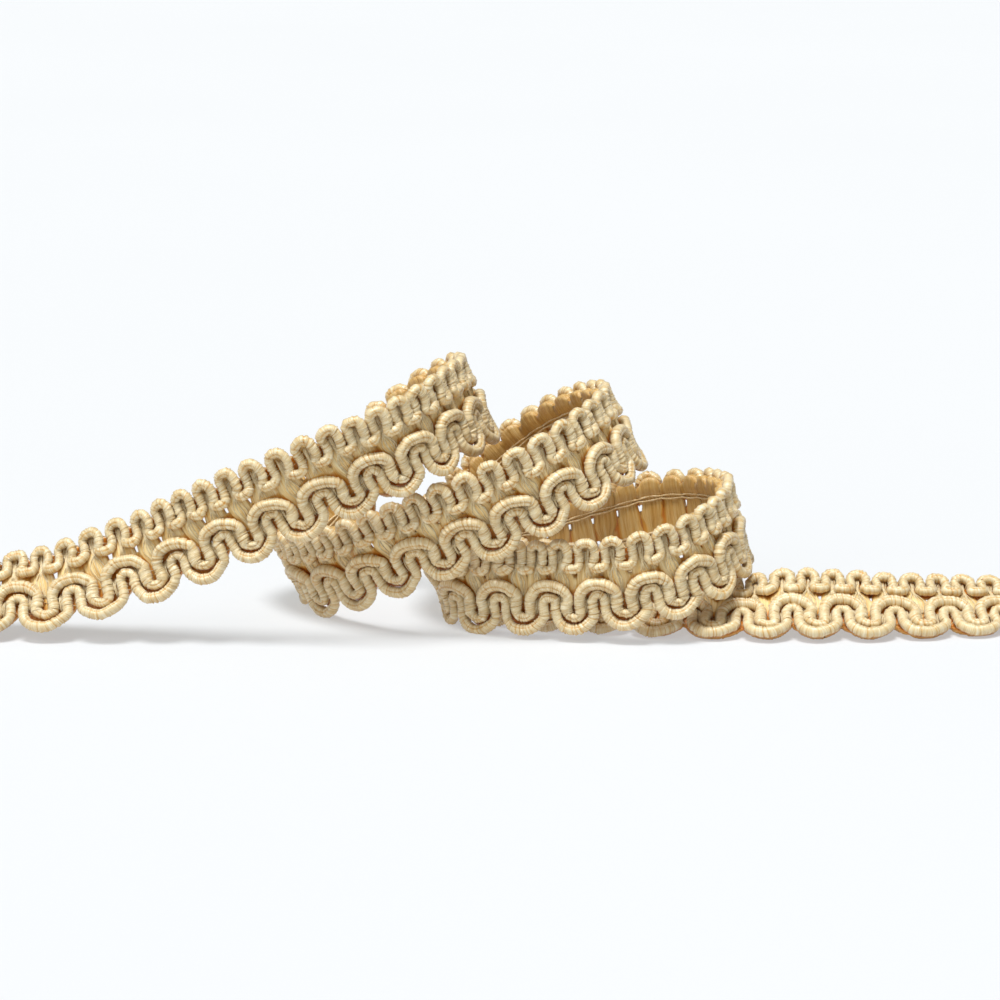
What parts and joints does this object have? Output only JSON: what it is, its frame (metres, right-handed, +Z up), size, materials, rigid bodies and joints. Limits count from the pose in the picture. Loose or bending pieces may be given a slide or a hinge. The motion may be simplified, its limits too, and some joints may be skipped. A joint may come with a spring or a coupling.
{
  "type": "gimp braid trim",
  "caption": "Length of gimp braid lying in loose upright loops: a tight meander of wrapped cord along one edge, a scalloped pair along the other, over a floss ground.",
  "frame": {"origin": "centre of the bounding box on the surface that the braid rests on", "axes": "+X along the long way of the coil towards the loose tail, +Y away from the side that is looked at, +Z up"},
  "size_m": [0.1714, 0.0505, 0.0427],
  "materials": {
    "floss": "untwisted silky rayon floss, golden",
    "wrapped_cord": "satin rayon thread wrapped round a core, champagne gold"
  },
  "bodies": {
    "root": {"floss_ground": "floss", "edge_cord": "wrapped_cord", "scallop_cord_a": "wrapped_cord", "scallop_cord_b": "wrapped_cord"}
  },
  "joints": []
}
